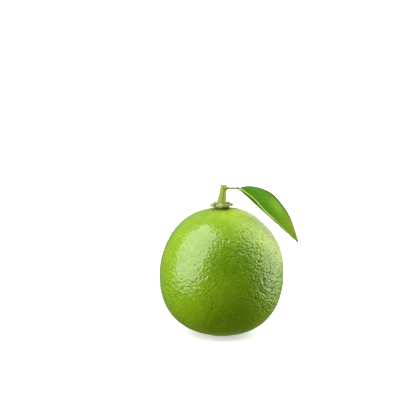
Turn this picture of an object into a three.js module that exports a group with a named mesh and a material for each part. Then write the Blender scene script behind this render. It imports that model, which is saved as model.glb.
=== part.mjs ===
// A lime as picked: the whole fruit standing on its small flat spot, with its calyx, a short length
// of stalk and one leaf. Millimetres, +Z up. The origin is the centre of the flat spot, the fruit's
// own axis is Z, and the leaf reaches towards +X.
import * as THREE from "three";

// The fruit. Its outline is a superellipse above the equator and a fuller one below it, where 2
// would be a plain ellipse.
const FRUIT_RADIUS = 30;
const FRUIT_HEIGHT = 61;
const EQUATOR_HEIGHT = 29;
const CROWN_FULLNESS = 2.12;
const BASE_FULLNESS = 2.32;
const REST_SPOT_RADIUS = 7;
const SHOULDER_LEAN = 0.3; // how far the fuller shoulder leans towards +X

// The calyx: five thick sepals, grown together as a shallow cup on the crown.
const CALYX_RADIUS = 5.5;
const CALYX_SEAT_RADIUS = 2.8; // where its underside leaves the fruit
const CALYX_RIM_LIFT = 1.7; // from the fruit up to the underside of the rim
const CALYX_THICKNESS = 1;
const SEPALS = 5;
const SEPAL_NOTCH = 0.9; // how deep the notches between the sepals are

// The stalk, cut off just above the leaf.
const STALK_LENGTH = 9.7;
const STALK_FOOT_RADIUS = 2.15;
const STALK_RADIUS = 1.15;
const STALK_FLARE = 4.3; // the height over which the foot narrows
const STALK_LEAN = 0.85; // how far the cut end is offset from the foot
const STALK_RIBS = 3;
const STALK_RIB_HEIGHT = 0.12;
const CUSHION_DROP = 1.7; // from the cut end down to the middle of the leaf cushion
const CUSHION_REACH = 0.8; // how far the cushion stands out of the stalk
const CUSHION_SPREAD = 1.1; // its half height

// The petiole, which runs out level and bends down into the blade.
const PETIOLE_LENGTH = 4.4;
const PETIOLE_RADIUS = 0.43;
const KNUCKLE_RADIUS = 0.62; // the knuckle is the joint with the blade
const KNUCKLE_LENGTH = 1.5;
const PETIOLE_DROP = 0.15;

// The leaf's blade, folded upwards along its midrib and hanging down.
const BLADE_LENGTH = 37.8;
const BLADE_HALF_WIDTH = 11.2;
const BLADE_BASE_TAPER = 0.8; // a higher value draws the end out finer
const BLADE_TIP_TAPER = 1;
const BLADE_SLOPE = THREE.MathUtils.degToRad(41.5); // of its midrib, below level
const BLADE_SAG = 0.1; // how far the midrib hangs below its own chord
const BLADE_ROLL = THREE.MathUtils.degToRad(15); // the far edge is the higher one
const BLADE_FOLD = THREE.MathUtils.degToRad(34); // each half, above the blade's own plane
const BLADE_CURL = 1.2; // how far the edges curve back down
const BLADE_THICKNESS = 0.45;
const MIDRIB_RADIUS = 0.5;
const BLADE_END_HALF_WIDTH = 0.45; // at the joint and at the tip

const JOINT_GAP = 0.3; // between two pieces that touch

const OUTLINE_RINGS = 16; // of the fruit, for each half of its outline
const FRUIT_SIDES = 64;
const CALYX_SIDES = 45;
const LIMB_SIDES = 18;

// A superellipse's height over its middle, as a share of the most there is.
function superellipse(share, fullness) {
  return Math.max(1 - share ** fullness, 0) ** (1 / fullness);
}

const crownRise = FRUIT_HEIGHT - EQUATOR_HEIGHT;
// The lower half would reach this far below the equator if the flat spot didn't end it.
const baseReach = EQUATOR_HEIGHT / superellipse(REST_SPOT_RADIUS / FRUIT_RADIUS, BASE_FULLNESS);

// The height of the fruit's crown at a distance from the axis.
function crownHeight(radius) {
  return EQUATOR_HEIGHT + crownRise * superellipse(radius / FRUIT_RADIUS, CROWN_FULLNESS);
}

// Moves every vertex of a geometry to where place(vertex) puts it.
function reshape(geometry, place) {
  const position = geometry.getAttribute("position");
  const vertex = new THREE.Vector3();
  for (let i = 0; i < position.count; i += 1) {
    vertex.fromBufferAttribute(position, i);
    place(vertex);
    position.setXYZ(i, vertex.x, vertex.y, vertex.z);
  }
  geometry.computeVertexNormals();
  return geometry;
}

// A LatheGeometry turns about Y, so this stands it up on Z.
function turned(outline, sides) {
  return new THREE.LatheGeometry(outline, sides).rotateX(Math.PI / 2);
}

function fruitGeometry() {
  const outline = [new THREE.Vector2(0, 0), new THREE.Vector2(REST_SPOT_RADIUS, 0)];
  const restAngle = Math.acos((REST_SPOT_RADIUS / FRUIT_RADIUS) ** (BASE_FULLNESS / 2));
  for (let ring = 1; ring < OUTLINE_RINGS; ring += 1) {
    const angle = restAngle * (1 - ring / OUTLINE_RINGS);
    const radius = FRUIT_RADIUS * Math.cos(angle) ** (2 / BASE_FULLNESS);
    const drop = baseReach * Math.sin(angle) ** (2 / BASE_FULLNESS);
    outline.push(new THREE.Vector2(radius, EQUATOR_HEIGHT - drop));
  }
  for (let ring = 0; ring < OUTLINE_RINGS; ring += 1) {
    const angle = ((Math.PI / 2) * ring) / OUTLINE_RINGS;
    const radius = FRUIT_RADIUS * Math.cos(angle) ** (2 / CROWN_FULLNESS);
    outline.push(new THREE.Vector2(radius, crownHeight(radius)));
  }
  outline.push(new THREE.Vector2(0, crownHeight(0)));
  return reshape(turned(outline, FRUIT_SIDES), (vertex) => {
    const rise = THREE.MathUtils.clamp((vertex.z - EQUATOR_HEIGHT) / crownRise, 0, 1);
    vertex.x += SHOULDER_LEAN * Math.sin(Math.PI * rise) ** 2;
  });
}

const calyxFloor = crownHeight(0) + JOINT_GAP + CALYX_THICKNESS;
const calyxCupRadius = STALK_FOOT_RADIUS + JOINT_GAP;

function calyxGeometry() {
  const underRim = crownHeight(CALYX_RADIUS) + CALYX_RIM_LIFT;
  const seatStep = CALYX_SEAT_RADIUS / 3;
  const outline = [];
  for (let radius = 0; radius < CALYX_SEAT_RADIUS; radius += seatStep) {
    outline.push(new THREE.Vector2(radius, crownHeight(radius) + JOINT_GAP));
  }
  const rim = new THREE.SplineCurve([
    new THREE.Vector2(CALYX_SEAT_RADIUS, crownHeight(CALYX_SEAT_RADIUS) + JOINT_GAP),
    new THREE.Vector2(CALYX_RADIUS - CALYX_THICKNESS / 2, underRim),
    new THREE.Vector2(CALYX_RADIUS, underRim + CALYX_THICKNESS / 2),
    new THREE.Vector2(CALYX_RADIUS - CALYX_THICKNESS / 2, underRim + CALYX_THICKNESS),
    new THREE.Vector2(calyxCupRadius, calyxFloor),
  ]);
  outline.push(...rim.getPoints(12), new THREE.Vector2(0, calyxFloor));
  return reshape(turned(outline, CALYX_SIDES), (vertex) => {
    const radius = Math.hypot(vertex.x, vertex.y);
    const outwards = THREE.MathUtils.smoothstep(radius, calyxCupRadius, CALYX_RADIUS);
    const notch = (1 - Math.cos(SEPALS * Math.atan2(vertex.y, vertex.x))) / 2;
    const scale = 1 - (SEPAL_NOTCH * notch * outwards) / Math.max(radius, calyxCupRadius);
    vertex.x *= scale;
    vertex.y *= scale;
  });
}

// A round limb along a curve. radiusAt(along, angle) is its radius, where along runs from 0 to 1 and
// angle 0 faces +X; the limb's cross-sections stay square to the curve, which lies in the XZ plane.
function limb(curve, rings, radiusAt) {
  const side = new THREE.Vector3();
  const across = new THREE.Vector3(0, -1, 0);
  return reshape(new THREE.CylinderGeometry(1, 1, 1, LIMB_SIDES, rings), (vertex) => {
    const along = vertex.y + 0.5;
    const angle = Math.atan2(vertex.z, vertex.x);
    const reach = Math.hypot(vertex.x, vertex.z) * radiusAt(along, angle);
    side.crossVectors(curve.getTangentAt(along), across);
    vertex.copy(curve.getPointAt(along));
    vertex.addScaledVector(side, reach * Math.cos(angle));
    vertex.addScaledVector(across, reach * Math.sin(angle));
  });
}

const stalkFoot = calyxFloor + JOINT_GAP;
const stalkTop = stalkFoot + STALK_LENGTH;
const stalkLine = new THREE.CubicBezierCurve3(
  new THREE.Vector3(0, 0, stalkFoot),
  new THREE.Vector3(0, 0, stalkFoot + STALK_LENGTH / 3),
  new THREE.Vector3(STALK_LEAN, 0, stalkTop - STALK_LENGTH / 3),
  new THREE.Vector3(STALK_LEAN, 0, stalkTop),
);

function stalkGeometry() {
  const cushionPlace = STALK_LENGTH - CUSHION_DROP;
  return limb(stalkLine, 24, (along, angle) => {
    const height = along * STALK_LENGTH;
    const flare = (STALK_FOOT_RADIUS - STALK_RADIUS) * Math.exp(-((height / STALK_FLARE) ** 2));
    // One rib faces the front, where angle is a quarter turn.
    const rib = STALK_RIB_HEIGHT * Math.cos(STALK_RIBS * (angle - Math.PI / 2));
    const facing = Math.max(Math.cos(angle), 0) ** 3;
    const swell = Math.exp(-(((height - cushionPlace) / CUSHION_SPREAD) ** 2));
    return STALK_RADIUS + flare + rib + CUSHION_REACH * facing * swell;
  });
}

const cushionTip = new THREE.Vector3(
  STALK_LEAN + STALK_RADIUS + STALK_RIB_HEIGHT + CUSHION_REACH,
  0,
  stalkTop - CUSHION_DROP,
);
const petioleStart = cushionTip.clone().add(new THREE.Vector3(JOINT_GAP, 0, 0));
const petioleLine = new THREE.CubicBezierCurve3(
  petioleStart,
  petioleStart.clone().add(new THREE.Vector3(PETIOLE_LENGTH / 2, 0, 0)),
  petioleStart.clone().add(new THREE.Vector3(PETIOLE_LENGTH * 0.8, 0, 0)),
  petioleStart.clone().add(new THREE.Vector3(PETIOLE_LENGTH, 0, -PETIOLE_DROP)),
);

function petioleGeometry() {
  return limb(petioleLine, 16, (along) => {
    const fromBlade = (1 - along) * PETIOLE_LENGTH;
    const slim = THREE.MathUtils.smoothstep(fromBlade, KNUCKLE_LENGTH / 2, KNUCKLE_LENGTH);
    return THREE.MathUtils.lerp(KNUCKLE_RADIUS, PETIOLE_RADIUS, slim);
  });
}

const bladeChord = new THREE.Vector3(Math.cos(BLADE_SLOPE), 0, -Math.sin(BLADE_SLOPE));
const bladeUp = new THREE.Vector3(Math.sin(BLADE_SLOPE), 0, Math.cos(BLADE_SLOPE));
const bladeSide = new THREE.Vector3(0, Math.cos(BLADE_ROLL), 0);
bladeSide.addScaledVector(bladeUp, Math.sin(BLADE_ROLL));
const bladeFace = new THREE.Vector3().crossVectors(bladeChord, bladeSide);
// The blade's end face is square to its own chord, so the foot of that face sets the gap.
const bladeSetback = (BLADE_THICKNESS / 2 + MIDRIB_RADIUS) * Math.sin(BLADE_SLOPE);
const bladeStart = petioleLine
  .getPointAt(1)
  .addScaledVector(petioleLine.getTangentAt(1), JOINT_GAP + bladeSetback);

// The outline of the blade, before it is given its width.
function bladeOutline(along) {
  return along ** BLADE_BASE_TAPER * (1 - along) ** BLADE_TIP_TAPER;
}

// Half the blade's width along its length.
function bladeHalfWidth(along) {
  const widest = BLADE_BASE_TAPER / (BLADE_BASE_TAPER + BLADE_TIP_TAPER);
  const share = bladeOutline(along) / bladeOutline(widest);
  return THREE.MathUtils.lerp(BLADE_END_HALF_WIDTH, BLADE_HALF_WIDTH, share);
}

// The middle of the blade's thickness. along runs from 0 at the joint to 1 at the tip, and across
// from -1 at the near edge to 1 at the far one.
function bladePoint(along, across) {
  const half = bladeHalfWidth(along);
  const sag = BLADE_SAG * Math.sin(Math.PI * along);
  const out = Math.abs(across) * half;
  const curl = BLADE_CURL * (half / BLADE_HALF_WIDTH) * across ** 2;
  return bladeStart
    .clone()
    .addScaledVector(bladeChord, along * BLADE_LENGTH)
    .addScaledVector(bladeUp, -sag)
    .addScaledVector(bladeSide, Math.sign(across) * out * Math.cos(BLADE_FOLD))
    .addScaledVector(bladeFace, out * Math.sin(BLADE_FOLD) - curl);
}

function bladeGeometry() {
  const step = 1e-3;
  const box = new THREE.BoxGeometry(1, 1, 1, 32, 1, 16);
  return reshape(box, (vertex) => {
    const along = vertex.x + 0.5;
    const across = -vertex.z * 2;
    const ahead = bladePoint(Math.min(along + step, 1), across);
    ahead.sub(bladePoint(Math.max(along - step, 0), across));
    const aside = bladePoint(along, across + step).sub(bladePoint(along, across - step));
    const face = ahead.cross(aside).normalize();
    const midrib = MIDRIB_RADIUS * Math.exp(-((across * 10) ** 2)) * (1 - along);
    const offset = vertex.y > 0 ? BLADE_THICKNESS / 2 : -BLADE_THICKNESS / 2 - midrib;
    vertex.copy(bladePoint(along, across)).addScaledVector(face, offset);
  });
}

const rindMaterial = new THREE.MeshStandardMaterial({ color: 0x7ba31c, roughness: 0.38 });
const calyxMaterial = new THREE.MeshStandardMaterial({ color: 0x94a565, roughness: 0.7 });
const stalkMaterial = new THREE.MeshStandardMaterial({ color: 0x93a82a, roughness: 0.6 });
const petioleMaterial = new THREE.MeshStandardMaterial({ color: 0x8a9a45, roughness: 0.6 });
const leafMaterial = new THREE.MeshStandardMaterial({ color: 0x5f9a1a, roughness: 0.4 });

function piece(name, geometry, material) {
  const mesh = new THREE.Mesh(geometry, material);
  mesh.name = name;
  return mesh;
}

const lime = new THREE.Group();
lime.add(
  piece("fruit", fruitGeometry(), rindMaterial),
  piece("calyx", calyxGeometry(), calyxMaterial),
  piece("stalk", stalkGeometry(), stalkMaterial),
  piece("petiole", petioleGeometry(), petioleMaterial),
  piece("leaf_blade", bladeGeometry(), leafMaterial),
);

export default lime;
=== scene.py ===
import math
import random

import bmesh
import bpy
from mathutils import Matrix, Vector, kdtree, noise


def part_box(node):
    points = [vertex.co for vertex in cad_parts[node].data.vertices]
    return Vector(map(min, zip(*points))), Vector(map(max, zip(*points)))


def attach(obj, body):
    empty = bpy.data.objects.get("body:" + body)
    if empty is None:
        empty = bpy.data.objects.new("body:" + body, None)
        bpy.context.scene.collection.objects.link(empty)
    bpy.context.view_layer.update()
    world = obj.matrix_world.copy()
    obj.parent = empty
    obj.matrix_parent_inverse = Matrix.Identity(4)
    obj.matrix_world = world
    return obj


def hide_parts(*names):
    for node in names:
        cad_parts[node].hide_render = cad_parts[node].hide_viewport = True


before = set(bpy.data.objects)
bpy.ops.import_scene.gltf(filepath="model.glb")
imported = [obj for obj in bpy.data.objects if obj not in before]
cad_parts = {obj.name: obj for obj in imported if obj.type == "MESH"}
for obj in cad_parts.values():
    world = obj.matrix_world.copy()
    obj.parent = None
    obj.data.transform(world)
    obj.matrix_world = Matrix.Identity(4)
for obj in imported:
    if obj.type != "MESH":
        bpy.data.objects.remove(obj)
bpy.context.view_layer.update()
root = "root"


def hexColour(code):
    # sRGB hex to the linear colour that shaders want
    channels = [int(code[i:i + 2], 16) / 255 for i in (1, 3, 5)]
    return [c / 12.92 if c <= 0.04045 else ((c + 0.055) / 1.055) ** 2.4 for c in channels] + [1]


def smoothStep(value, low, high):
    t = min(max((value - low) / (high - low), 0), 1)
    return t * t * (3 - 2 * t)


def addNode(tree, kind, inputs=None, **settings):
    # inputs are keyed by the socket's name or number, and hold a value or another node's output
    node = tree.nodes.new(kind)
    for name, value in settings.items():
        setattr(node, name, value)
    for key, value in (inputs or {}).items():
        if isinstance(value, bpy.types.NodeSocket):
            tree.links.new(value, node.inputs[key])
        else:
            node.inputs[key].default_value = value
    return node


def startMaterial(name):
    material = bpy.data.materials.new(name)
    material.use_nodes = True
    tree = material.node_tree
    tree.nodes.clear()
    shader = addNode(tree, "ShaderNodeBsdfPrincipled")
    addNode(tree, "ShaderNodeOutputMaterial", {"Surface": shader.outputs["BSDF"]})
    return material, tree, shader


def finishPiece(bm, name, material, node):
    for face in bm.faces:
        face.smooth = True
    mesh = bpy.data.meshes.new(name)
    bm.to_mesh(mesh)
    bm.free()
    mesh.materials.append(material)
    piece = bpy.data.objects.new(name, mesh)
    bpy.context.scene.collection.objects.link(piece)
    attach(piece, root)
    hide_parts(node)
    return piece


# the camera: a long lens a little above the fruit's middle, the fruit low and right of centre
view = {
    "distance": 0.72,
    "elevation": math.radians(9),
    "lens": 135,
    "aimLeft": 0.0103,  # how far left of the fruit's axis the view is centred
    "aimUp": 0.0339,  # and how far above its middle
}
fruitLow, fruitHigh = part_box("fruit")
fruitMiddle = Vector((0, 0, fruitHigh.z / 2))
camera = bpy.data.objects.new("camera", bpy.data.cameras.new("camera"))
camera.data.lens = view["lens"]
camera.data.sensor_width = 36
bpy.context.scene.collection.objects.link(camera)
bpy.context.scene.camera = camera
lookUp = Vector((0, math.sin(view["elevation"]), math.cos(view["elevation"])))
lookBack = Vector((0, -math.cos(view["elevation"]), math.sin(view["elevation"])))
aim = fruitMiddle + lookUp * view["aimUp"] - Vector((view["aimLeft"], 0, 0))
camera.location = aim + lookBack * view["distance"]
camera.rotation_euler = (-lookBack).to_track_quat("-Z", "Y").to_euler()
print("camera is in place")

# the fruit: one sphere shaped into the lime, with every bump of its skin in the mesh
fruitLook = {
    "equatorHeight": 0.029,
    "crownFullness": 2.12,
    "baseFullness": 2.32,
    "restRadius": 0.007,
    "spotEdge": 0.0006,  # the relief starts over this height above the flat spot
    "shoulderLean": 0.0003,
    "skinInset": 0.00003,  # keeps the highest bumps inside the solid's box
    "cuts": 98,
    "lumpSize": 0.024,
    "patchSize": 0.011,  # of coarser and smoother patches
    "lumpHeight": 0.0003,
    "swellTowards": (0.33, 0, 0.94),  # the crown stands a little fuller on the leaf's side
    "swellHeight": 0.0006,
    "furrowReach": 0.016,  # the fine furrows that run down from the stalk
    "furrowDepth": 0.0002,
    "furrowCount": (6.5, 14),  # how closely the broad and the fine ones follow round the stalk
    "pebbleSize": 0.0015,
    "pebbleDrift": 1.3,  # how far the ridges wander, in pebbles
    "pebbleHeight": 0.00022,
    "wrinkleHeight": 0.00005,  # faint level wrinkles on the lower half
    "wrinkleCount": 750,  # to a metre of height
    "glands": 6600,
    "glandRadius": (0.00036, 0.00058),
    "glandDepth": 0.00036,
    "swollenShare": 0.05,  # of the glands stand up instead, and catch the light
    "swollenDepth": -0.6,
    "coarseSide": (0.9, -0.12, 0.42),  # the rind is coarser on this side
    "coarseness": (0.5, 1.25),  # away from that side and on it
    "crownCalm": 0.75,  # how much of the relief is gone beside the stalk
    "paintedShadeSide": (0.12, -0.88, 0.42),  # painted shade: a deeper green on the side facing the front
    "paintedLightSide": (0.65, 0.21, 0.72),  # and painted light: paler on this side, the lit upper right
    "scarRadius": 0.0019,  # where the flower's style fell off, in the middle of the flat spot
    "scarDepth": 0.00025,
}


def fruitSurface(direction):
    # the skin's point in a direction from the middle of the equator, before any small relief
    radius = (fruitHigh.y - fruitLow.y) / 2
    crownRise = fruitHigh.z - fruitLook["equatorHeight"]
    fullness = fruitLook["baseFullness"]
    restShare = fruitLook["restRadius"] / radius
    reach = fruitLook["equatorHeight"] / (1 - restShare ** fullness) ** (1 / fullness)
    if direction.z > 0:
        fullness = fruitLook["crownFullness"]
        reach = crownRise
    level = math.hypot(direction.x, direction.y)
    share = (level / radius) ** fullness + (abs(direction.z) / reach) ** fullness
    point = direction * share ** (-1 / fullness)
    rise = max(point.z, 0) / crownRise
    point.x += fruitLook["shoulderLean"] * math.sin(math.pi * min(rise, 1)) ** 2
    point.z = max(point.z + fruitLook["equatorHeight"], 0)
    return point


def scatterGlands():
    # oil glands at nearly even spacing: a spiral over the sphere, shaken by about a third of a step
    random.seed(7)
    tree = kdtree.KDTree(fruitLook["glands"])
    sizes = []
    shake = 1.1 / math.sqrt(fruitLook["glands"])
    for i in range(fruitLook["glands"]):
        z = 1 - 2 * (i + 0.5) / fruitLook["glands"]
        angle = i * math.pi * (3 - math.sqrt(5))
        level = math.sqrt(1 - z * z)
        direction = Vector((level * math.cos(angle), level * math.sin(angle), z))
        direction += Vector([random.uniform(-shake, shake) for axis in range(3)])
        tree.insert(fruitSurface(direction.normalized()), i)
        depth = random.random() ** 2
        if random.random() < fruitLook["swollenShare"]:
            depth = fruitLook["swollenDepth"]
        sizes.append((random.uniform(*fruitLook["glandRadius"]), depth))
    tree.balance()
    return tree, sizes


def skinRelief(point, direction, pit):
    # the height of the skin over its smooth shape, how coarse it is, and its furrow from the stalk
    look = fruitLook
    fromAxis = math.hypot(point.x, point.y)
    calmSide, roughSide = look["coarseness"]
    coarse = smoothStep(direction.dot(Vector(look["coarseSide"])), 0.2, 0.65)
    coarse = calmSide + (roughSide - calmSide) * coarse
    coarse += 0.5 * noise.noise(point / look["patchSize"])
    coarse *= 1 - look["crownCalm"] * smoothStep(direction.z, 0.74, 0.92)
    drift = [noise.noise(point / 0.005 + Vector((0, 9 * axis, 0))) for axis in range(3)]
    warped = point / look["pebbleSize"] + Vector(drift) * look["pebbleDrift"]
    pebble = 0.3 - 1.6 * abs(noise.noise(warped))  # creased ridges
    pebble += 0.6 * noise.noise(warped * 1.9 + Vector((5, 0, 0)))
    around = Vector((direction.x, direction.y, 0)).normalized()
    broad, fine = look["furrowCount"]
    furrow = noise.noise(around * broad + Vector((0, 0, fromAxis * 70)))
    furrow += noise.noise(around * fine + Vector((0, 0, fromAxis * 90)))
    furrow *= math.exp(-(fromAxis / look["furrowReach"]) ** 4) if direction.z > 0 else 0
    wrinkle = noise.noise(Vector((around.x * 5, around.y * 5, point.z * look["wrinkleCount"])))
    wrinkle *= 1 - smoothStep(direction.z, -0.35, 0.1)
    relief = (noise.noise(point / look["lumpSize"]) - 0.3) * look["lumpHeight"] - look["skinInset"]
    relief += look["swellHeight"] * smoothStep(direction.dot(Vector(look["swellTowards"])), 0.93, 1)
    relief += (pebble - 0.4) * look["pebbleHeight"] * coarse
    relief += (furrow - 0.4) * look["furrowDepth"] + wrinkle * look["wrinkleHeight"]
    return relief - pit * look["glandDepth"] * coarse, coarse, furrow


def buildFruit():
    glandTree, glandSizes = scatterGlands()
    bm = bmesh.new()
    bmesh.ops.create_icosphere(bm, subdivisions=1, radius=1)
    bmesh.ops.subdivide_edges(bm, edges=bm.edges, cuts=fruitLook["cuts"], use_grid_fill=True)
    gland = bm.verts.layers.float.new("gland")
    furrowed = bm.verts.layers.float.new("furrow")
    coarsened = bm.verts.layers.float.new("coarse")
    paintedShadeMask = bm.verts.layers.float.new("deep")
    paintedLightMask = bm.verts.layers.float.new("paintedLight")
    for vert in bm.verts:
        direction = vert.co.normalized()
        point = fruitSurface(direction)
        spot, index, away = glandTree.find(point)
        radius, depth = glandSizes[index]
        pit = depth * math.exp(-(away / radius) ** 2)
        relief, coarse, furrow = skinRelief(point, direction, pit)
        if direction.z < 0:  # the flat spot keeps its plane, but for the small scar in its middle
            relief *= smoothStep(point.z, 0, fruitLook["spotEdge"])
            fromAxis = math.hypot(point.x, point.y)
            relief -= fruitLook["scarDepth"] * math.exp(-(fromAxis / fruitLook["scarRadius"]) ** 4)
        vert.co = point + direction * relief
        vert[gland] = pit
        vert[furrowed] = furrow
        vert[coarsened] = coarse
        stray = 0.08 * noise.noise(point / 0.009)
        # painted shade mask: towards the front, with a wandering edge
        vert[paintedShadeMask] = smoothStep(direction.dot(Vector(fruitLook["paintedShadeSide"])) + stray, 0.86, 1)
        # painted light mask: towards the upper right, with a wandering edge
        vert[paintedLightMask] = smoothStep(direction.dot(Vector(fruitLook["paintedLightSide"])) + stray, 0.5, 0.88)
    bmesh.ops.recalc_face_normals(bm, faces=bm.faces)
    return bm


def waxyRind():
    # lime rind, grown: a thin natural wax over a pebbled skin gives broad soft highlights with
    # small sparks at the bumps; the oil glands' pits and the open pores are painted darker, as
    # painted shade, the front is painted a deeper green as painted shade, and the upper right
    # paler as painted light
    material, tree, shader = startMaterial("waxyLimeRind")
    place = addNode(tree, "ShaderNodeTexCoord").outputs["Object"]
    patches = addNode(tree, "ShaderNodeTexNoise", {
        "Vector": place, "Scale": 55, "Detail": 3})  # 18 mm
    mottle = addNode(tree, "ShaderNodeTexNoise", {
        "Vector": place, "Scale": 520, "Detail": 2})  # 2 mm
    pores = addNode(tree, "ShaderNodeTexVoronoi", {"Vector": place, "Scale": 720})  # 1.4 mm
    grain = addNode(tree, "ShaderNodeTexNoise", {
        "Vector": place, "Scale": 1300, "Detail": 3})  # 0.8 mm
    glands = addNode(tree, "ShaderNodeAttribute", attribute_name="gland")
    furrows = addNode(tree, "ShaderNodeAttribute", attribute_name="furrow")
    paintedShadeMask = addNode(tree, "ShaderNodeAttribute", attribute_name="deep")
    paintedLightMask = addNode(tree, "ShaderNodeAttribute", attribute_name="paintedLight")
    patchy = addNode(tree, "ShaderNodeMapRange", {
        "Value": patches.outputs["Fac"], "From Min": 0.35, "From Max": 0.65})
    skin = addNode(tree, "ShaderNodeMix", {
        0: patchy.outputs["Result"], 6: hexColour("#749c04"), 7: hexColour("#83a809")},
        data_type="RGBA")
    # painted shade: the front of the rind is mixed towards a deeper green
    deep = addNode(tree, "ShaderNodeMapRange", {"Value": paintedShadeMask.outputs["Fac"], "To Max": 0.75})
    skin = addNode(tree, "ShaderNodeMix", {
        0: deep.outputs["Result"], 6: skin.outputs[2], 7: hexColour("#5c8c03")}, data_type="RGBA")
    # painted light: the upper right of the rind is mixed towards a pale yellow-green
    paintedLight = addNode(tree, "ShaderNodeMapRange", {"Value": paintedLightMask.outputs["Fac"], "To Max": 0.8})
    skin = addNode(tree, "ShaderNodeMix", {
        0: paintedLight.outputs["Result"], 6: skin.outputs[2], 7: hexColour("#b0cc36")}, data_type="RGBA")
    mottled = addNode(tree, "ShaderNodeMapRange", {
        "Value": mottle.outputs["Fac"], "From Min": 0.4, "From Max": 0.7, "To Max": 0.3})
    skin = addNode(tree, "ShaderNodeMix", {
        0: mottled.outputs["Result"], 6: skin.outputs[2], 7: hexColour("#94b31c")},
        data_type="RGBA")
    # painted shade: darker green in the oil glands' pits, by their depth
    paintedPitShade = addNode(tree, "ShaderNodeMapRange", {
        "Value": glands.outputs["Fac"], "From Min": 0.2, "From Max": 0.9, "To Max": 0.45})
    skin = addNode(tree, "ShaderNodeMix", {
        0: paintedPitShade.outputs["Result"], 6: skin.outputs[2], 7: hexColour("#4f7a04")}, data_type="RGBA")
    streaks = addNode(tree, "ShaderNodeMapRange", {
        "Value": furrows.outputs["Fac"], "From Min": 0, "From Max": 0.8, "To Max": 0.35})
    skin = addNode(tree, "ShaderNodeMix", {
        0: streaks.outputs["Result"], 6: skin.outputs[2], 7: hexColour("#a6c03c")},
        data_type="RGBA")
    poreWall = addNode(tree, "ShaderNodeMapRange", {
        "Value": pores.outputs["Distance"], "From Min": 0.08, "From Max": 0.34},
        interpolation_type="SMOOTHSTEP")
    poreKind = addNode(tree, "ShaderNodeSeparateColor", {"Color": pores.outputs["Color"]})
    coarseness = addNode(tree, "ShaderNodeAttribute", attribute_name="coarse")
    leastOpen = addNode(tree, "ShaderNodeMapRange", {  # fewer pores open where the rind is smooth
        "Value": coarseness.outputs["Fac"], "From Min": 0.3, "From Max": 1,
        "To Min": 0.85, "To Max": 0.35})
    opened = addNode(tree, "ShaderNodeMath", {
        0: poreKind.outputs["Red"], 1: leastOpen.outputs["Result"]}, operation="SUBTRACT")
    opened = addNode(tree, "ShaderNodeMapRange", {
        "Value": opened.outputs["Value"], "From Max": 0.35})
    relief = addNode(tree, "ShaderNodeMix", {
        0: opened.outputs["Result"], 2: 1, 3: poreWall.outputs["Result"]})
    # painted shade: the open pores' middles are mixed towards a darker green; the same mask is the
    # bump's height
    skin = addNode(tree, "ShaderNodeMix", {
        0: relief.outputs[0], 6: hexColour("#648b05"), 7: skin.outputs[2]}, data_type="RGBA")
    rough = addNode(tree, "ShaderNodeMapRange", {
        "Value": mottle.outputs["Fac"], "From Min": 0.3, "From Max": 0.7,
        "To Min": 0.27, "To Max": 0.38})
    tree.links.new(skin.outputs[2], shader.inputs["Base Color"])
    tree.links.new(rough.outputs["Result"], shader.inputs["Roughness"])
    shader.inputs["IOR"].default_value = 1.45
    shader.inputs["Specular IOR Level"].default_value = 0.25
    shader.inputs["Coat Weight"].default_value = 1
    shader.inputs["Coat Roughness"].default_value = 0.08
    shader.inputs["Coat IOR"].default_value = 1.45
    shader.inputs["Subsurface Weight"].default_value = 0.08
    shader.inputs["Subsurface Radius"].default_value = (0.8, 1.0, 0.2)
    shader.inputs["Subsurface Scale"].default_value = 0.0012
    coarse = addNode(tree, "ShaderNodeBump", {
        "Height": relief.outputs[0], "Strength": 1, "Distance": 0.00028})
    fine = addNode(tree, "ShaderNodeBump", {
        "Height": grain.outputs["Fac"], "Strength": 0.6, "Distance": 0.0003,
        "Normal": coarse.outputs["Normal"]})
    tree.links.new(fine.outputs["Normal"], shader.inputs["Normal"])
    return material


finishPiece(buildFruit(), "fruit_skin", waxyRind(), "fruit")
print("fruit is built")

# the calyx: five thick sepals grown into a shallow saucer
calyxLook = {
    "radius": 0.0055,
    "seatRadius": 0.0034,
    "sink": 0.0004,  # into the skin
    "rimLift": 0.0008,  # from the crown's height up to the underside of the rim
    "thickness": 0.0014,
    "cupRadius": 0.0023,
    "cupHeight": 0.0009,  # of the floor the stalk stands on
    "sepals": 5,
    "sepalTurn": 0.75,  # of one sepal's width, round the stalk
    "sepalUneven": 0.3,  # how much the sepals differ in width
    "notch": 0.0013,
    "notchWidth": 0.11,  # of a sepal's width
    "lobeRound": 0.3,
    "ridgeHeight": 0.0003,  # along the middle of each sepal
    "unevenness": 0.0003,
    "grain": ((1500, 0.00006), (700, 0.00009)),  # count to the metre, and height
    "steps": 150,
}


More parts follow.
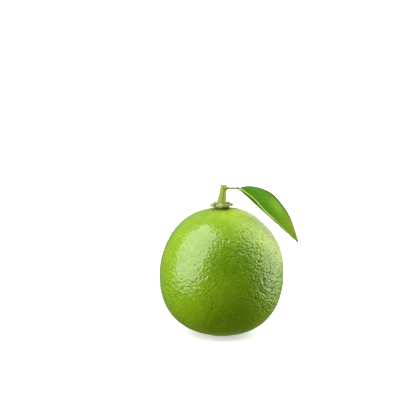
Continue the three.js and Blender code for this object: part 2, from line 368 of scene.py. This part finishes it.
def buildCalyx():
    look = calyxLook
    seat = fruitHigh.z - look["sink"]
    floor = fruitHigh.z + look["cupHeight"]
    rimUnder = fruitHigh.z + look["rimLift"]
    rimTop = rimUnder + look["thickness"]
    inner = look["radius"] - look["thickness"] * 0.3
    corners = [
        (0, seat), (look["seatRadius"] * 0.9, seat), (look["seatRadius"], seat + 0.0003),
        (look["seatRadius"] * 1.08, rimUnder - 0.0001), (inner * 0.92, rimUnder),
        (look["radius"], rimUnder + look["thickness"] * 0.3),
        (look["radius"] * 0.99, rimUnder + look["thickness"] * 0.75), (inner, rimTop),
        (inner * 0.86, rimTop - 0.0001), (inner * 0.68, rimTop - 0.0008),
        (look["cupRadius"] * 1.1, floor), (0, floor),
    ]
    bm = bmesh.new()
    verts = [bm.verts.new((x, 0, z)) for x, z in corners]
    edges = [bm.edges.new(pair) for pair in zip(verts, verts[1:])]
    bmesh.ops.subdivide_edges(bm, edges=edges, cuts=3, smooth=0.6)
    bmesh.ops.spin(bm, geom=bm.verts[:] + bm.edges[:], cent=(0, 0, 0), axis=(0, 0, 1),
                   angle=2 * math.pi, steps=look["steps"], use_merge=True)
    bmesh.ops.remove_doubles(bm, verts=bm.verts, dist=1e-6)
    bmesh.ops.recalc_face_normals(bm, faces=bm.faces)
    rim = bm.verts.layers.float.new("rim")
    for vert in bm.verts:
        level = math.hypot(vert.co.x, vert.co.y)
        angle = math.atan2(vert.co.y, vert.co.x)
        around = Vector((math.cos(angle), math.sin(angle), 0))
        outwards = smoothStep(level, look["cupRadius"], look["radius"])
        turn = angle * look["sepals"] / (2 * math.pi) + look["sepalTurn"]
        turn += look["sepalUneven"] * noise.noise(around + Vector((0, 0, 4)))
        within = turn - math.floor(turn) - 0.5  # 0 in the middle of a sepal, a half at its notches
        sepal = math.floor(turn) % look["sepals"]
        notch = math.exp(-((0.5 - abs(within)) / look["notchWidth"]) ** 2)
        lobe = look["lobeRound"] * (2 * within) ** 2
        wobble = noise.noise(around * 2 + Vector((0, 0, 9)))
        pull = look["notch"] * (notch + lobe) + look["unevenness"] * wobble
        lift = noise.noise(Vector((sepal * 3.7, 1.3, 0))) * look["unevenness"] * 1.6
        lift += look["ridgeHeight"] * math.exp(-(within / 0.2) ** 2) - notch * 0.0004
        ridge = look["ridgeHeight"] * math.exp(-(within / 0.1) ** 2)
        grain = sum(noise.noise(vert.co * count) * height for count, height in look["grain"])
        scale = 1 - pull * outwards / max(level, look["cupRadius"])
        vert.co.x *= scale
        vert.co.y *= scale
        vert.co += vert.normal * (grain + ridge * outwards)
        vert.co.z += lift * outwards
        # painted shade mask: low in the cup round the stalk and in the notches
        vert[rim] = outwards * (1 - 0.8 * notch)
    return bm


def driedSepal():
    # calyx tissue, half dried: matt and fibrous, with pale grey-green ridges; painted shade darkens
    # the cup round the stalk and the notches between the sepals
    material, tree, shader = startMaterial("driedSepal")
    place = addNode(tree, "ShaderNodeTexCoord").outputs["Object"]
    rim = addNode(tree, "ShaderNodeAttribute", attribute_name="rim")
    blotch = addNode(tree, "ShaderNodeTexNoise", {
        "Vector": place, "Scale": 900, "Detail": 4})  # 1 mm
    fibre = addNode(tree, "ShaderNodeTexNoise", {
        "Vector": place, "Scale": 4000, "Detail": 3})  # 0.25 mm
    blotched = addNode(tree, "ShaderNodeMapRange", {
        "Value": blotch.outputs["Fac"], "From Min": 0.35, "From Max": 0.65})
    green = addNode(tree, "ShaderNodeMix", {
        0: blotched.outputs["Result"], 6: hexColour("#85974a"), 7: hexColour("#b4c27c")},
        data_type="RGBA")
    # painted shade: dark olive in the cup and the notches, green out on the sepals
    paintedCupShade = addNode(tree, "ShaderNodeMapRange", {
        "Value": rim.outputs["Fac"], "From Min": 0.1, "From Max": 0.7})
    tone = addNode(tree, "ShaderNodeMix", {
        0: paintedCupShade.outputs["Result"], 6: hexColour("#47541f"), 7: green.outputs[2]}, data_type="RGBA")
    spots = addNode(tree, "ShaderNodeMapRange", {
        "Value": blotch.outputs["Fac"], "From Min": 0.6, "From Max": 0.7, "To Max": 0.7})
    tone = addNode(tree, "ShaderNodeMix", {
        0: spots.outputs["Result"], 6: tone.outputs[2], 7: hexColour("#5c5a35")}, data_type="RGBA")
    bump = addNode(tree, "ShaderNodeBump", {
        "Height": fibre.outputs["Fac"], "Strength": 0.5, "Distance": 0.0001})
    tree.links.new(tone.outputs[2], shader.inputs["Base Color"])
    tree.links.new(bump.outputs["Normal"], shader.inputs["Normal"])
    shader.inputs["Roughness"].default_value = 0.62
    shader.inputs["Specular IOR Level"].default_value = 0.4
    return material


finishPiece(buildCalyx(), "calyx_cup", driedSepal(), "calyx")
print("calyx is built")

# the stalk, cut off just above the leaf
stalkLook = {
    "radius": 0.00125,
    "footRadius": 0.0024,
    "sink": 0.0006,  # below the solid's foot, into the calyx
    "flare": 0.0052,
    "lean": 0.00085,
    "ribs": 3,
    "ribHeight": 0.00028,
    "footRibs": 5,
    "footRibReach": 0.0016,
    "cushionDrop": 0.0017,  # from the cut down to where the leaf springs
    "cushionReach": 0.00095,
    "cushionSpread": 0.0011,
    "creaseBelow": 0.0012,  # the cushion's middle
    "creaseWidth": 0.00028,
    "creaseDepth": 0.0003,
    "strands": 0.000035,  # relief of the fibres under the bark
    "cutHorns": 0.0007,  # the bark stands up in two points at the cut
    "cutHollow": 0.00035,
    "cutTaper": 0.06,  # of the radius
    "cutRag": 0.0001,
    "sides": 96,
    "rings": 110,
}
stalkLow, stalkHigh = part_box("stalk")


def buildStalk():
    look = stalkLook
    foot = stalkLow.z - look["sink"]
    top = stalkHigh.z - 0.0001
    length = top - foot
    bm = bmesh.new()
    bmesh.ops.create_cone(bm, cap_ends=True, segments=look["sides"], radius1=1, radius2=1, depth=1)
    upright = [edge for edge in bm.edges if abs(edge.verts[0].co.z - edge.verts[1].co.z) > 0.5]
    bmesh.ops.subdivide_edges(bm, edges=upright, cuts=look["rings"])
    caps = [face for face in bm.faces if len(face.verts) > 4]
    for share in (0.82, 0.6, 0.35, 0.15):
        bmesh.ops.inset_region(bm, faces=caps, thickness=0.14, use_even_offset=False)
        for vert in {vert for face in caps for vert in face.verts}:
            level = math.hypot(vert.co.x, vert.co.y)
            vert.co.x *= share / level
            vert.co.y *= share / level
    bmesh.ops.poke(bm, faces=caps)
    bark = bm.verts.layers.float.new("bark")
    for vert in bm.verts:
        along = vert.co.z + 0.5
        height = along * length
        reach = math.hypot(vert.co.x, vert.co.y)
        angle = math.atan2(vert.co.y, vert.co.x)
        around = Vector((math.cos(angle), math.sin(angle), 0))
        facing = max(around.x, 0) ** 3
        flare = (look["footRadius"] - look["radius"]) * math.exp(-(height / look["flare"]) ** 2)
        rib = look["ribHeight"] * math.cos(look["ribs"] * (angle + math.pi / 2))
        footRib = 0.6 * math.cos(look["footRibs"] * angle + 1)
        rib += look["ribHeight"] * footRib * math.exp(-(height / look["footRibReach"]) ** 2)
        belowCushion = length - height - look["cushionDrop"]
        swell = math.exp(-(belowCushion / look["cushionSpread"]) ** 2)
        crease = math.exp(-((belowCushion - look["creaseBelow"]) / look["creaseWidth"]) ** 2)
        strand = noise.noise(around * 4 + Vector((0, 0, height * 160)))
        strand += 0.5 * noise.noise(around * 9 + Vector((0, 0, height * 300)))
        radius = look["radius"] + flare + rib + strand * look["strands"]
        radius += facing * (look["cushionReach"] * swell - look["creaseDepth"] * crease)
        radius *= 1 - look["cutTaper"] * smoothStep(along, 0.985, 1)
        z = foot + height
        if along > 0.999:  # the cut is hollow over the pith and ragged at its rim
            z -= look["cutHollow"] * (1 - reach ** 2)
            z -= look["cutHorns"] * reach * math.sin(angle) ** 2
            z -= look["cutRag"] * reach * (1 + noise.noise(around * 1.6 + Vector((0, 0, 3))))
        vert.co = around * radius * reach
        vert.co.x += look["lean"] * (3 * along ** 2 - 2 * along ** 3)
        vert.co.z = z
        vert[bark] = 0 if along > 0.999 and reach < 0.9 else 1
    bmesh.ops.recalc_face_normals(bm, faces=bm.faces)
    return bm


def greenBark():
    # young green wood: smooth waxy bark with faint lengthwise strands, and pale pith at the cut
    material, tree, shader = startMaterial("greenBark")
    place = addNode(tree, "ShaderNodeTexCoord").outputs["Object"]
    bark = addNode(tree, "ShaderNodeAttribute", attribute_name="bark")
    stretched = addNode(tree, "ShaderNodeMapping", {"Vector": place, "Scale": (1, 1, 0.12)})
    strands = addNode(tree, "ShaderNodeTexNoise", {
        "Vector": stretched.outputs["Vector"], "Scale": 2600, "Detail": 3})  # 0.4 mm
    blotch = addNode(tree, "ShaderNodeTexNoise", {
        "Vector": place, "Scale": 450, "Detail": 2})  # 2 mm
    sides = addNode(tree, "ShaderNodeSeparateXYZ", {"Vector": place})
    stranded = addNode(tree, "ShaderNodeMapRange", {
        "Value": strands.outputs["Fac"], "From Min": 0.35, "From Max": 0.65})
    tone = addNode(tree, "ShaderNodeMix", {
        0: stranded.outputs["Result"], 6: hexColour("#9fb90c"), 7: hexColour("#b4cd2a")},
        data_type="RGBA")
    paintedSheenSide = addNode(tree, "ShaderNodeMapRange", {  # painted sheen: the side away from the leaf is greyer
        "Value": sides.outputs["X"], "From Min": 0.0007, "From Max": 0, "To Max": 0.85})
    tone = addNode(tree, "ShaderNodeMix", {
        0: paintedSheenSide.outputs["Result"], 6: tone.outputs[2], 7: hexColour("#7a844e")},
        data_type="RGBA")
    blotched = addNode(tree, "ShaderNodeMapRange", {
        "Value": blotch.outputs["Fac"], "From Min": 0.5, "From Max": 0.7, "To Max": 0.5})
    tone = addNode(tree, "ShaderNodeMix", {
        0: blotched.outputs["Result"], 6: tone.outputs[2], 7: hexColour("#86a018")},
        data_type="RGBA")
    tone = addNode(tree, "ShaderNodeMix", {
        0: bark.outputs["Fac"], 6: hexColour("#d5dba6"), 7: tone.outputs[2]}, data_type="RGBA")
    bump = addNode(tree, "ShaderNodeBump", {
        "Height": strands.outputs["Fac"], "Strength": 0.35, "Distance": 0.00008})
    tree.links.new(tone.outputs[2], shader.inputs["Base Color"])
    tree.links.new(bump.outputs["Normal"], shader.inputs["Normal"])
    shader.inputs["Roughness"].default_value = 0.48
    shader.inputs["Specular IOR Level"].default_value = 0.25
    shader.inputs["Coat Weight"].default_value = 0.05
    shader.inputs["Coat Roughness"].default_value = 0.3
    return material


finishPiece(buildStalk(), "stalk_stem", greenBark(), "stalk")
print("stalk is built")

# the petiole: the leaf's own stalk, from the cushion to the knuckle where the blade is joined on
petioleLook = {
    "radius": 0.0005,
    "knuckleRadius": 0.00068,
    "knuckleLength": 0.0014,
    "groove": 0.0001,  # along its upper side
    "intoCushion": 0.0009,
    "intoBlade": 0.0007,
    "drop": 0.00015,  # from the cushion to the blade
    "collar": 0.0003,  # how much it widens at the cushion
    "wrinkleCount": 15000,  # round the knuckle, in radians to the metre
    "wrinkleDepth": 0.00001,
    "unevenness": 0.00003,
    "sides": 40,
    "rings": 90,
}
petioleLow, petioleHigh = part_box("petiole")


def buildPetiole():
    look = petioleLook
    start = petioleLow.x - look["intoCushion"]
    end = petioleHigh.x + look["intoBlade"]
    middle = stalkHigh.z - stalkLook["cushionDrop"]
    bm = bmesh.new()
    bmesh.ops.create_cone(bm, cap_ends=True, segments=look["sides"], radius1=1, radius2=1, depth=1)
    lengthwise = [edge for edge in bm.edges if abs(edge.verts[0].co.z - edge.verts[1].co.z) > 0.5]
    bmesh.ops.subdivide_edges(bm, edges=lengthwise, cuts=look["rings"])
    knuckled = bm.verts.layers.float.new("knuckle")
    for vert in bm.verts:
        along = vert.co.z + 0.5
        angle = math.atan2(vert.co.y, vert.co.x)
        fromBlade = (1 - along) * (end - start)
        reach = look["knuckleLength"]
        knuckle = 1 - smoothStep(fromBlade, reach * 0.75, reach * 1.25)
        radius = look["radius"] + (look["knuckleRadius"] - look["radius"]) * knuckle
        radius += look["collar"] * math.exp(-(along / 0.12) ** 2)
        radius -= look["groove"] * math.exp(-((angle - math.pi / 2) / 0.5) ** 2) * (1 - knuckle)
        radius += math.sin(fromBlade * look["wrinkleCount"]) * look["wrinkleDepth"] * knuckle
        spot = Vector((math.cos(angle) * 3, math.sin(angle) * 3, along * 5))
        radius += noise.noise(spot) * look["unevenness"]
        vert.co.x = start + along * (end - start)
        vert.co.y = -radius * math.cos(angle)
        vert.co.z = middle - look["drop"] * along ** 3 + radius * math.sin(angle)
        vert[knuckled] = knuckle
    bmesh.ops.recalc_face_normals(bm, faces=bm.faces)
    return bm


def greenPetiole():
    # soft green stalk skin: satin, olive, darker and wrinkled at the joint
    material, tree, shader = startMaterial("greenPetiole")
    place = addNode(tree, "ShaderNodeTexCoord").outputs["Object"]
    knuckle = addNode(tree, "ShaderNodeAttribute", attribute_name="knuckle")
    blotch = addNode(tree, "ShaderNodeTexNoise", {
        "Vector": place, "Scale": 1300, "Detail": 3})  # 0.8 mm
    blotched = addNode(tree, "ShaderNodeMapRange", {
        "Value": blotch.outputs["Fac"], "From Min": 0.35, "From Max": 0.65})
    tone = addNode(tree, "ShaderNodeMix", {
        0: blotched.outputs["Result"], 6: hexColour("#98a34a"), 7: hexColour("#b4bf66")},
        data_type="RGBA")
    joint = addNode(tree, "ShaderNodeMapRange", {"Value": knuckle.outputs["Fac"], "To Max": 0.7})
    tone = addNode(tree, "ShaderNodeMix", {
        0: joint.outputs["Result"], 6: tone.outputs[2], 7: hexColour("#76883a")}, data_type="RGBA")
    bump = addNode(tree, "ShaderNodeBump", {
        "Height": blotch.outputs["Fac"], "Strength": 0.3, "Distance": 0.00008})
    tree.links.new(tone.outputs[2], shader.inputs["Base Color"])
    tree.links.new(bump.outputs["Normal"], shader.inputs["Normal"])
    shader.inputs["Roughness"].default_value = 0.5
    shader.inputs["Specular IOR Level"].default_value = 0.35
    return material


finishPiece(buildPetiole(), "petiole_stem", greenPetiole(), "petiole")
print("petiole is built")

# the leaf: one blade folded along its midrib, hanging away from the fruit
leafLook = {
    "length": 0.0384,
    "halfWidth": 0.0119,
    "baseTaper": 0.8,
    "tipTaper": 1.05,
    "slope": math.radians(42.8),
    "sag": 0.0001,
    "roll": math.radians(17.5),
    "twist": math.radians(3.5),  # more roll by the middle of the blade
    "spread": math.radians(54),  # roll and fold together, which the far half stands up by
    "curl": 0.0015,
    "thickness": 0.0004,
    "midrib": 0.0005,  # how far it stands out below
    "midribWidth": 0.0007,
    "grooveDepth": 0.0002,  # over the midrib, on the upper side
    "grooveWidth": 0.00055,
    "endHalfWidth": 0.0004,
    "setback": 0.00078,  # from the petiole's end to the blade's
    "ripple": 0.00015,  # the waves along the edges
    "veinSpacing": 0.0034,
    "veinWidth": 0.00022,
    "veinRelief": 0.00004,
    "veinSlant": 0.95,
    "veinBend": 22,
    "veinStagger": 0.4,  # of the spacing, from one half to the other
    "quiltCount": 420,  # the soft quilting between the veins, to the metre
    "quiltHeight": 0.00005,
    "cutsAlong": 190,
    "cutsAcross": 94,
}


def leafOutline(along):
    along = min(max(along, 0), 1)
    return along ** leafLook["baseTaper"] * (1 - along) ** leafLook["tipTaper"]


def leafPoint(along, across):
    # a point of the blade's middle sheet, and how far out from the midrib it is
    look = leafLook
    widest = look["baseTaper"] / (look["baseTaper"] + look["tipTaper"])
    share = leafOutline(along) / leafOutline(widest)
    half = look["endHalfWidth"] + (look["halfWidth"] - look["endHalfWidth"]) * share
    roll = look["roll"] + look["twist"] * smoothStep(along, 0.1, 0.5)
    fold = look["spread"] - roll
    chord = Vector((math.cos(look["slope"]), 0, -math.sin(look["slope"])))
    up = Vector((math.sin(look["slope"]), 0, math.cos(look["slope"])))
    side = Vector((0, math.cos(roll), 0)) + up * math.sin(roll)
    face = chord.cross(side)
    out = abs(across) * half
    ripple = look["ripple"] * across ** 2 * share * math.sin(along * 17 + across * 1.5)
    curl = look["curl"] * half / look["halfWidth"] * across ** 2 - ripple
    springs = stalkHigh.z - stalkLook["cushionDrop"] - petioleLook["drop"]
    point = Vector((petioleHigh.x + look["setback"], 0, springs))
    point += chord * along * look["length"] - up * look["sag"] * math.sin(math.pi * along)
    point += side * math.copysign(out, across) * math.cos(fold)
    return point + face * (out * math.sin(fold) - curl), out


def buildLeaf():
    look = leafLook
    bm = bmesh.new()
    bmesh.ops.create_cube(bm, size=1)
    for axis, cuts in ((0, look["cutsAlong"]), (1, look["cutsAcross"])):
        edges = [e for e in bm.edges if abs(e.verts[0].co[axis] - e.verts[1].co[axis]) > 0.5]
        bmesh.ops.subdivide_edges(bm, edges=edges, cuts=cuts, use_grid_fill=True)
    veined = bm.verts.layers.float.new("vein")
    edged = bm.verts.layers.float.new("edge")
    upper = bm.verts.layers.float.new("upper")
    lengthwise = bm.verts.layers.float.new("along")
    paintedSheenLayer = bm.verts.layers.float.new("pale")
    step = 1e-3
    for vert in bm.verts:
        along = vert.co.x + 0.5
        across = vert.co.y * 2
        top = vert.co.z > 0
        here, out = leafPoint(along, across)
        ahead = leafPoint(min(along + step, 1), across)[0]
        ahead -= leafPoint(max(along - step, 0), across)[0]
        aside = leafPoint(along, across + step)[0] - leafPoint(along, across - step)[0]
        face = ahead.cross(aside).normalized()
        origin = along * look["length"] - out * look["veinSlant"] - out ** 2 * look["veinBend"]
        phase = origin / look["veinSpacing"] + (look["veinStagger"] if across > 0 else 0)
        fromVein = abs(phase - round(phase)) * look["veinSpacing"] * 0.72  # square to the vein
        fade = smoothStep(origin, 0.001, 0.004) * (1 - smoothStep(abs(across), 0.7, 0.98))
        vein = math.exp(-(fromVein / look["veinWidth"]) ** 2) * fade
        rib = math.exp(-(out / look["midribWidth"]) ** 2) * (1 - 0.8 * along)
        thick = look["thickness"] / 2 * math.sqrt(max(1 - abs(across) ** 10, 0.12))
        quilt = noise.noise(here * look["quiltCount"]) * look["quiltHeight"]
        if top:
            groove = look["grooveDepth"] * math.exp(-(out / look["grooveWidth"]) ** 2)
            offset = thick - groove - vein * look["veinRelief"]
        else:
            offset = -thick - look["midrib"] * rib * 0.9 - vein * look["veinRelief"] * 2
        vert.co = here + face * (offset + quilt)
        vert[veined] = max(vein * 0.5, math.exp(-(out / 0.0005) ** 2))
        # near edge negative, for a painted highlight; far edge positive, for painted shade
        vert[edged] = math.copysign(smoothStep(abs(across), 0.85, 0.95), across)
        if across < 0:
            vert[edged] *= 1 - smoothStep(along, 0.45, 0.7)
        # painted sheen: a paler patch on the far half's crest
        vert[paintedSheenLayer] = math.exp(-((along - 0.5) / 0.13) ** 2 - ((across - 0.62) / 0.24) ** 2)
        vert[upper] = 1 if top else 0
        vert[lengthwise] = along
    bmesh.ops.recalc_face_normals(bm, faces=bm.faces)
    return bm


def citrusLeaf():
    # a fresh citrus leaf: satin deep green with a fine leathery grain above, paler and matt below
    material, tree, shader = startMaterial("citrusLeaf")
    place = addNode(tree, "ShaderNodeTexCoord").outputs["Object"]
    vein = addNode(tree, "ShaderNodeAttribute", attribute_name="vein")
    edge = addNode(tree, "ShaderNodeAttribute", attribute_name="edge")
    upper = addNode(tree, "ShaderNodeAttribute", attribute_name="upper")
    along = addNode(tree, "ShaderNodeAttribute", attribute_name="along")
    pale = addNode(tree, "ShaderNodeAttribute", attribute_name="pale")
    cloud = addNode(tree, "ShaderNodeTexNoise", {
        "Vector": place, "Scale": 180, "Detail": 3})  # 5 mm
    cells = addNode(tree, "ShaderNodeTexVoronoi", {"Vector": place, "Scale": 1500})  # 0.7 mm
    ripening = addNode(tree, "ShaderNodeMapRange", {
        "Value": along.outputs["Fac"], "From Min": 0.35, "From Max": 1},
        interpolation_type="SMOOTHSTEP")
    green = addNode(tree, "ShaderNodeMix", {
        0: ripening.outputs["Result"], 6: hexColour("#4f8903"), 7: hexColour("#839c10")},
        data_type="RGBA")
    clouded = addNode(tree, "ShaderNodeMapRange", {
        "Value": cloud.outputs["Fac"], "From Min": 0.4, "From Max": 0.65, "To Max": 0.3})
    green = addNode(tree, "ShaderNodeMix", {
        0: clouded.outputs["Result"], 6: green.outputs[2], 7: hexColour("#468403")},
        data_type="RGBA")
    paintedSheenShare = addNode(tree, "ShaderNodeMapRange", {"Value": pale.outputs["Fac"], "To Max": 0.6})
    green = addNode(tree, "ShaderNodeMix", {  # painted sheen: paler along the far half's crest
        0: paintedSheenShare.outputs["Result"], 6: green.outputs[2], 7: hexColour("#92b82c")},
        data_type="RGBA")
    veins = addNode(tree, "ShaderNodeMapRange", {"Value": vein.outputs["Fac"], "To Max": 0.25})
    green = addNode(tree, "ShaderNodeMix", {
        0: veins.outputs["Result"], 6: green.outputs[2], 7: hexColour("#a9cc4a")}, data_type="RGBA")
    below = addNode(tree, "ShaderNodeMix", {
        0: veins.outputs["Result"], 6: hexColour("#54781a"), 7: hexColour("#8ca850")},
        data_type="RGBA")
    tone = addNode(tree, "ShaderNodeMix", {
        0: upper.outputs["Fac"], 6: below.outputs[2], 7: green.outputs[2]}, data_type="RGBA")
    lit = addNode(tree, "ShaderNodeMapRange", {  # painted highlight along the near edge
        "Value": edge.outputs["Fac"], "From Min": 0, "From Max": -0.8, "To Max": 0.9})
    tone = addNode(tree, "ShaderNodeMix", {
        0: lit.outputs["Result"], 6: tone.outputs[2], 7: hexColour("#c6dc72")}, data_type="RGBA")
    shaded = addNode(tree, "ShaderNodeMapRange", {  # and painted shade along the far one
        "Value": edge.outputs["Fac"], "From Min": 0, "From Max": 0.8, "To Max": 0.9})
    tone = addNode(tree, "ShaderNodeMix", {
        0: shaded.outputs["Result"], 6: tone.outputs[2], 7: hexColour("#46581a")}, data_type="RGBA")
    rough = addNode(tree, "ShaderNodeMapRange", {
        "Value": upper.outputs["Fac"], "To Min": 0.6, "To Max": 0.3})
    bump = addNode(tree, "ShaderNodeBump", {
        "Height": cells.outputs["Distance"], "Strength": 0.15, "Distance": 0.0001})
    tree.links.new(tone.outputs[2], shader.inputs["Base Color"])
    tree.links.new(rough.outputs["Result"], shader.inputs["Roughness"])
    tree.links.new(bump.outputs["Normal"], shader.inputs["Normal"])
    shader.inputs["Specular IOR Level"].default_value = 0.06
    shader.inputs["Subsurface Weight"].default_value = 0.1
    shader.inputs["Subsurface Radius"].default_value = (0.6, 1.0, 0.2)
    shader.inputs["Subsurface Scale"].default_value = 0.001
    return material


leaf = finishPiece(buildLeaf(), "leaf", citrusLeaf(), "leaf_blade")
leaf.visible_glossy = False  # the skin beside it stays bright, in its shine and in its shade
leaf.visible_shadow = False
print("leaf is built")

# the studio: a lit white table, a tall softbox at each side, a small one behind, and air that is
# dim in front
studio = {
    "tableSize": 12,
    "tableColour": "#f2f2f2",
    "backdropRadius": 4,
    "backdropHeight": 8,
    "glowNear": 0.45,  # the table's own light beside the fruit and far from it
    "glowFar": 1.0,
    "glowReach": (0.08, 0.5),
    "airBright": 0.34,
    "airDim": 0.04,
    "airFrom": (0.45, 0.75, 0.48),  # the bright side of the air: behind, to the right and high
    "airBelow": 0.34,
    "belowColour": "#d6ec5c",  # what comes back from under the fruit has taken its colour
    "leftTowards": (-0.78, 0.5, 0.4),  # right, up and towards the camera, from the fruit
    "leftDistance": 0.6,
    "leftSize": (0.7, 1.2),
    "leftPower": 10.9,
    "rightTowards": (0.9, 0.38, -0.12),
    "rightDistance": 0.7,
    "rightSize": (0.65, 1.25),
    "rightPower": 5.0,
    "fillTowards": (0.88, 0.34, -0.16),  # a matt fill on the same side, which leaves no shine
    "fillPower": 6,
    "rimTowards": (0.46, 0.36, -0.81),  # and a small box behind, for the shoulder's pale shine
    "rimSize": (0.5, 0.5),
    "rimPower": 0.5,
}


def softbox(name, towards, distance, size, power):
    direction = Vector((towards[0], 0, 0)) + lookUp * towards[1] + lookBack * towards[2]
    direction.normalize()
    lamp = bpy.data.lights.new(name, "AREA")
    lamp.shape = "RECTANGLE"
    lamp.size, lamp.size_y = size
    lamp.energy = power
    light = bpy.data.objects.new(name, lamp)
    light.location = fruitMiddle + direction * distance
    light.rotation_euler = direction.to_track_quat("Z", "Y").to_euler()
    light.visible_camera = False
    bpy.context.scene.collection.objects.link(light)
    return light


def lightAir():
    # the air's light by direction, with a soft return from below
    world = bpy.data.worlds.new("studioAir")
    world.use_nodes = True
    tree = world.node_tree
    direction = addNode(tree, "ShaderNodeTexCoord").outputs["Generated"]
    facing = addNode(tree, "ShaderNodeVectorMath", {
        0: direction, 1: studio["airFrom"]}, operation="DOT_PRODUCT")
    level = addNode(tree, "ShaderNodeMapRange", {
        "Value": facing.outputs["Value"], "From Min": -0.2, "From Max": 0.9,
        "To Min": studio["airDim"], "To Max": studio["airBright"]})
    parts = addNode(tree, "ShaderNodeSeparateXYZ", {"Vector": direction})
    below = addNode(tree, "ShaderNodeMapRange", {
        "Value": parts.outputs["Z"], "From Min": -0.15, "From Max": -0.6})
    light = addNode(tree, "ShaderNodeMix", {
        0: below.outputs["Result"], 2: level.outputs["Result"], 3: studio["airBelow"]})
    tree.links.new(light.outputs[0], tree.nodes["Background"].inputs["Strength"])
    tint = addNode(tree, "ShaderNodeMix", {
        0: below.outputs["Result"], 6: hexColour("#ffffff"), 7: hexColour(studio["belowColour"])},
        data_type="RGBA")
    tree.links.new(tint.outputs[2], tree.nodes["Background"].inputs["Color"])
    bpy.context.scene.world = world


def buildTable():
    bm = bmesh.new()
    bmesh.ops.create_grid(bm, x_segments=1, y_segments=1, size=studio["tableSize"])
    mesh = bpy.data.meshes.new("table")
    bm.to_mesh(mesh)
    bm.free()
    acrylic, tree, shader = startMaterial("litAcrylic")
    place = addNode(tree, "ShaderNodeTexCoord").outputs["Object"]
    away = addNode(tree, "ShaderNodeVectorMath", {0: place}, operation="LENGTH")
    near, far = studio["glowReach"]
    glow = addNode(tree, "ShaderNodeMapRange", {
        "Value": away.outputs["Value"], "From Min": near, "From Max": far,
        "To Min": studio["glowNear"], "To Max": studio["glowFar"]})
    tree.links.new(glow.outputs["Result"], shader.inputs["Emission Strength"])
    shader.inputs["Base Color"].default_value = hexColour(studio["tableColour"])
    shader.inputs["Roughness"].default_value = 0.9
    shader.inputs["Emission Color"].default_value = hexColour("#ffffff")
    mesh.materials.append(acrylic)
    table = bpy.data.objects.new("table", mesh)
    table.visible_diffuse = False  # the air's light from below stands for what it returns
    table.visible_glossy = False
    bpy.context.scene.collection.objects.link(table)
    return acrylic


def buildBackdrop(acrylic):
    # the table's white carried up all round, for the camera alone
    bm = bmesh.new()
    bmesh.ops.create_cone(bm, cap_ends=False, segments=64, radius1=studio["backdropRadius"],
                          radius2=studio["backdropRadius"], depth=studio["backdropHeight"])
    mesh = bpy.data.meshes.new("backdrop")
    bm.to_mesh(mesh)
    bm.free()
    mesh.materials.append(acrylic)
    backdrop = bpy.data.objects.new("backdrop", mesh)
    backdrop.visible_diffuse = False
    backdrop.visible_glossy = False
    backdrop.visible_shadow = False
    bpy.context.scene.collection.objects.link(backdrop)


softbox("leftSoftbox", studio["leftTowards"], studio["leftDistance"], studio["leftSize"],
        studio["leftPower"])
softbox("rightSoftbox", studio["rightTowards"], studio["rightDistance"], studio["rightSize"],
        studio["rightPower"])
softbox("rimSoftbox", studio["rimTowards"], studio["rightDistance"], studio["rimSize"],
        studio["rimPower"])
fill = softbox("rightFill", studio["fillTowards"], studio["rightDistance"], studio["rightSize"],
               studio["fillPower"])
fill.visible_glossy = False
lightAir()
buildBackdrop(buildTable())
bpy.context.scene.view_settings.view_transform = "Standard"
print("studio is lit")
